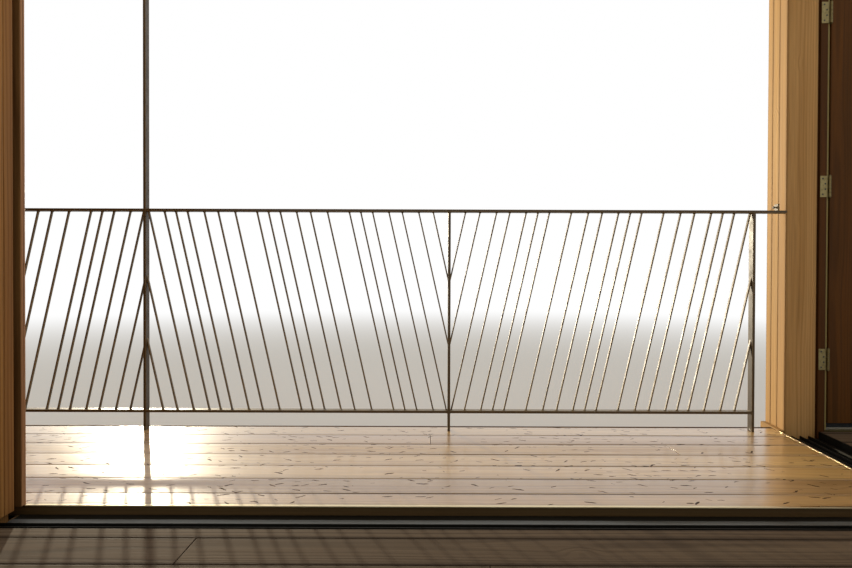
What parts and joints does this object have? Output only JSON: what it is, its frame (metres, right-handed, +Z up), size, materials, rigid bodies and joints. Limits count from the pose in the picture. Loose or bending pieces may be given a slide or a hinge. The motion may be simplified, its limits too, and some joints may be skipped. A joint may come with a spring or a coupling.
{
  "type": "tree house balcony bay",
  "caption": "Timber balcony bay of a tree house, with a steel railing of leaning pickets, recessed door tracks and a hinged door.",
  "frame": {"origin": "middle of the base, on the undersides of the joists", "axes": "+X to the right as seen from the room, +Y outwards over the balcony, +Z up"},
  "size_m": [6.0762, 1.778, 2.913],
  "materials": {
    "deck_timber": "weathered, silvered boards",
    "floor_timber": "grey-brown worn planks",
    "frame_timber": "rough sawn softwood",
    "wall_timber": "oiled boards",
    "dark_timber": "stained fir, satin",
    "trim_timber": "reddish oiled cedar",
    "pale_timber": "honey fir, oiled",
    "rail_steel": "dark bronze paint, satin",
    "track_aluminium": "mill finish, dulled",
    "hinge_brass": "dull, aged",
    "sweep_rubber": "matt black"
  },
  "bodies": {
    "house": {"deck_boards": "deck_timber", "deck_side_strips": "pale_timber", "outer_fascia": "deck_timber", "room_floor_boards": "floor_timber", "side_floor_boards": "floor_timber", "floor_joists": "frame_timber", "rim_joists": "frame_timber", "end_rim_joists": "frame_timber", "near_sill_track": "track_aluminium", "near_track_ribs": "track_aluminium", "side_sill_track": "track_aluminium", "side_track_ribs": "track_aluminium", "left_wall": "wall_timber", "left_wall_cladding": "wall_timber", "left_jamb_lining": "dark_timber", "left_jamb_trim": "trim_timber", "left_end_wall": "wall_timber", "left_corner_post": "pale_timber", "near_right_post": "pale_timber", "corner_post_inner": "pale_timber", "corner_post_core": "pale_timber", "corner_post_outer": "pale_timber", "near_head_beam": "pale_timber", "side_head_beam": "pale_timber", "eaves_beam": "pale_timber", "door_head_beam": "pale_timber", "right_door_post": "pale_timber", "top_rail": "rail_steel", "rail_panel_1": "rail_steel", "rail_panel_2": "rail_steel", "rail_panel_3": "rail_steel", "rail_post_left": "rail_steel", "tall_post": "rail_steel", "rail_post_mid": "rail_steel", "rail_post_right": "rail_steel", "rail_bracket_left": "rail_steel", "rail_bracket_right": "rail_steel", "door_frame": "dark_timber", "door_threshold": "track_aluminium", "hinge_frame_leaves": "hinge_brass"},
    "door": {"door_leaf": "dark_timber", "door_sweep": "sweep_rubber", "door_handle": "hinge_brass", "hinge_door_leaves": "hinge_brass"}
  },
  "joints": [
    {"name": "door_hinge", "type": "hinge", "parent": "house", "child": "door", "pos_m": [2.03013, 0.699, 1.4], "axis": [0, 0, -1], "range_deg": [0, 95]}
  ]
}
